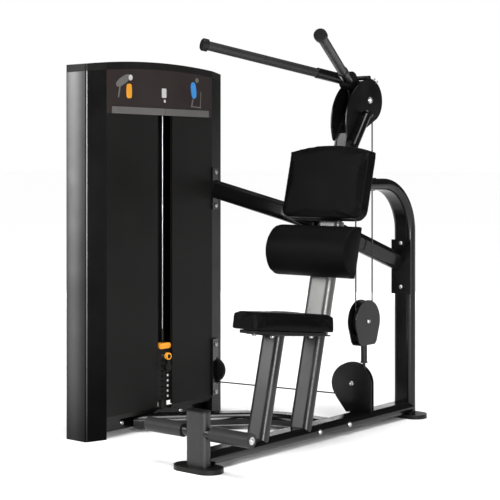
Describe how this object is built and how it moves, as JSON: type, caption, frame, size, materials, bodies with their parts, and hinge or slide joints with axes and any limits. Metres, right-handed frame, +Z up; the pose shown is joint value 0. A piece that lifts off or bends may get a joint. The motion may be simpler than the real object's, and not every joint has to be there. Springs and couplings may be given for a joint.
{
  "type": "seated abdominal crunch machine",
  "caption": "Selectorized seated crunch machine: weight tower joined by two braces to an oval-tube frame with seat, back pad, lumbar roll, foot pegs and splayed overhead handles.",
  "frame": {"origin": "centre of the front foot's sole, on the floor under the front post", "axes": "+Z up, +Y from the front post towards the rear upright (the user faces -Y), +X away from the weight tower"},
  "size_m": [1.1311, 1.486, 1.6201],
  "materials": {
    "frame_satin": "satin charcoal powder coat",
    "silver_paint": "silver powder coat",
    "tower_satin": "satin dark grey powder coat",
    "panel_black": "fine-textured black powder coat",
    "cap_black": "moulded black plastic",
    "vinyl": "black upholstery vinyl, light grain",
    "board_black": "plywood painted black",
    "zinc": "zinc plate",
    "chrome_rod": "polished guide rod",
    "pulley_plastic": "glass-filled nylon",
    "foam_rubber": "moulded rubber grip",
    "placard_print": "printed dark plastic sheet",
    "bar_grey": "mid-grey plastic strip",
    "cast_plate": "black-painted cast plate",
    "cable_coat": "nylon-coated steel cable",
    "orange_plastic": "orange moulded plastic"
  },
  "bodies": {
    "frame": {"base_rail": "frame_satin", "front_post": "frame_satin", "front_post_cap": "cap_black", "floor_feet": "cap_black", "rear_upright": "frame_satin", "seat_posts": "frame_satin", "seat_plate": "frame_satin", "seat_pad": "vinyl", "pad_post": "silver_paint", "head_post": "frame_satin", "back_pad": "vinyl", "lumbar_roll": "vinyl", "pad_boards": "board_black", "upper_brace": "frame_satin", "lower_brace": "frame_satin", "brace_plates": "frame_satin", "frame_bolts": "zinc", "cable_fittings": "pulley_plastic", "lower_guard": "frame_satin", "pulley_axles": "zinc", "foot_peg_axle": "frame_satin", "tower_columns": "tower_satin", "tower_cap": "cap_black", "tower_crossmembers": "frame_satin", "front_panels": "panel_black", "rear_shroud": "panel_black", "placard": "placard_print", "placard_bar": "bar_grey", "guide_rods": "chrome_rod", "rubber_bumpers": "foam_rubber", "weight_plates": "cast_plate", "main_cable": "cable_coat", "pivot_axle": "zinc"},
    "peg_left": {"peg_roller_left": "foam_rubber"},
    "peg_right": {"peg_roller_right": "foam_rubber"},
    "arm": {"arm_plates": "frame_satin", "cam": "frame_satin", "arm_hub": "frame_satin", "handle_tubes": "frame_satin", "handle_grips": "foam_rubber", "grip_end_caps": "cap_black", "counterweight": "frame_satin", "cam_cable": "cable_coat"},
    "float": {"float_block": "frame_satin", "float_axle": "zinc", "block_rod": "frame_satin", "float_cable": "cable_coat"},
    "float_wheel": {"float_pulley": "pulley_plastic"},
    "low_wheel": {"lower_pulley": "pulley_plastic"},
    "tower_wheel": {"tower_pulley": "pulley_plastic"},
    "top_wheel_rear": {"top_pulley_rear": "pulley_plastic"},
    "top_wheel_front": {"top_pulley_front": "pulley_plastic"},
    "stack": {"first_plate": "cast_plate", "head_plate": "cast_plate", "add_on_grip": "orange_plastic", "selector_stem": "zinc", "guide_bushes": "pulley_plastic"},
    "pin": {"selector_pin": "zinc", "pin_ring": "orange_plastic", "pin_grip": "cap_black"}
  },
  "joints": [
    {"name": "arm_swing", "type": "hinge", "parent": "frame", "child": "arm", "pos_m": [0, 1.038, 1.388], "axis": [1, 0, 0], "range_deg": [0, 48], "stiffness_Nm_per_rad": 60, "springref_deg": -28.65},
    {"name": "float_rise", "type": "slide", "parent": "frame", "child": "float", "axis": [0, 0, 1], "range_m": [0, 0.0345]},
    {"name": "stack_lift", "type": "slide", "parent": "frame", "child": "stack", "axis": [0, 0, 1], "range_m": [0, 0.0345]},
    {"name": "float_spin", "type": "hinge", "parent": "float", "child": "float_wheel", "pos_m": [0, 1.057, 0.452], "axis": [1, 0, 0], "range_deg": [0, 33]},
    {"name": "low_spin", "type": "hinge", "parent": "frame", "child": "low_wheel", "pos_m": [-0.04877, 1.0421, 0.184], "axis": [0.2922, -0.9564, 0], "range_deg": [0, 39]},
    {"name": "tower_spin", "type": "hinge", "parent": "frame", "child": "tower_wheel", "pos_m": [-0.67123, 0.8519, 0.2015], "axis": [0.2922, -0.9564, 0], "range_deg": [0, 39]},
    {"name": "top_rear_spin", "type": "hinge", "parent": "frame", "child": "top_wheel_rear", "pos_m": [-0.72, 0.786, 1.415], "axis": [1, 0, 0], "range_deg": [-39, 0]},
    {"name": "top_front_spin", "type": "hinge", "parent": "frame", "child": "top_wheel_front", "pos_m": [-0.72, 0.565, 1.415], "axis": [1, 0, 0], "range_deg": [-39, 0]},
    {"name": "pin_pull", "type": "slide", "parent": "stack", "child": "pin", "axis": [1, 0, 0], "range_m": [0, 0.08]},
    {"name": "peg_left_spin", "type": "hinge", "parent": "frame", "child": "peg_left", "pos_m": [0.16, 0, 0.14], "axis": [1, 0, 0], "continuous": true},
    {"name": "peg_right_spin", "type": "hinge", "parent": "frame", "child": "peg_right", "pos_m": [-0.16, 0, 0.14], "axis": [1, 0, 0], "continuous": true}
  ],
  "couplings": [
    {"joint": "float_rise", "follows": "arm_swing", "m_per_rad": 0.04},
    {"joint": "stack_lift", "follows": "arm_swing", "m_per_rad": 0.04},
    {"joint": "float_spin", "follows": "arm_swing", "ratio": 0.65574},
    {"joint": "low_spin", "follows": "arm_swing", "ratio": 0.78431},
    {"joint": "tower_spin", "follows": "arm_swing", "ratio": 0.78431},
    {"joint": "top_rear_spin", "follows": "arm_swing", "ratio": -0.78431},
    {"joint": "top_front_spin", "follows": "arm_swing", "ratio": -0.78431}
  ]
}
